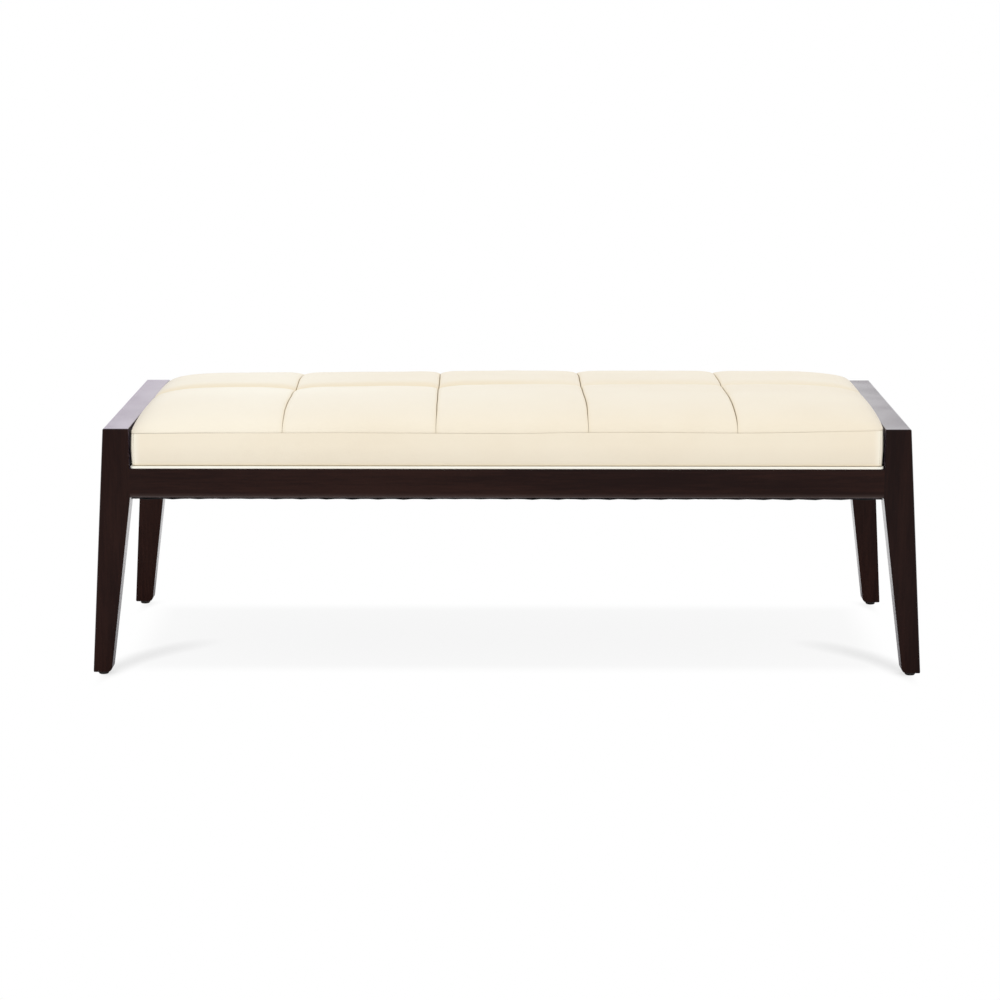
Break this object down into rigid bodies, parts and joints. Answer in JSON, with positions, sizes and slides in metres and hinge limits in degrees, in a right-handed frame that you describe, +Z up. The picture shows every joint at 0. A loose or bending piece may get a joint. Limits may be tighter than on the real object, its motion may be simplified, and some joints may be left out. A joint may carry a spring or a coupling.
{
  "type": "waiting room bench",
  "caption": "Low backless waiting room bench: splayed dark wood legs and rails hold a padded leather seat sewn in a grid of crowned panels.",
  "frame": {"origin": "floor level under the middle of the bench, at the centre of its footprint", "axes": "+X along the bench, to the right as seen from the front; +Y from front to back; +Z up"},
  "size_m": [1.5076, 0.56, 0.493],
  "materials": {
    "espresso_wood": "espresso stain under a gloss clear coat",
    "support_wood": "bare planed beech",
    "screw_steel": "zinc plated",
    "glide_nylon": "moulded dark nylon",
    "plywood": "bare birch plywood",
    "foam": "open-cell polyurethane foam",
    "leather": "smooth ivory upholstery leather with a fine grain",
    "welt_leather": "ivory leather drawn round a cord",
    "cambric": "black non-woven dust cover"
  },
  "bodies": {
    "root": {"leg_front_left": "espresso_wood", "leg_front_right": "espresso_wood", "leg_back_left": "espresso_wood", "leg_back_right": "espresso_wood", "end_rail_left": "espresso_wood", "end_rail_right": "espresso_wood", "apron_front": "espresso_wood", "apron_back": "espresso_wood", "cross_rail_left": "support_wood", "cross_rail_right": "support_wood", "end_cleat_left": "support_wood", "end_cleat_right": "support_wood", "block_front_left": "support_wood", "block_front_right": "support_wood", "block_back_left": "support_wood", "block_back_right": "support_wood", "frame_screws": "screw_steel", "seat_screws": "screw_steel", "glide_front_left": "glide_nylon", "glide_front_right": "glide_nylon", "glide_back_left": "glide_nylon", "glide_back_right": "glide_nylon", "seat_board": "plywood", "seat_foam": "foam", "panel_front_1": "leather", "panel_front_2": "leather", "panel_front_3": "leather", "panel_front_4": "leather", "panel_front_5": "leather", "panel_back_1": "leather", "panel_back_2": "leather", "panel_back_3": "leather", "panel_back_4": "leather", "panel_back_5": "leather", "band_front": "leather", "band_back": "leather", "band_left": "leather", "band_right": "leather", "seat_welt": "welt_leather", "dust_cover": "cambric"}
  },
  "joints": []
}
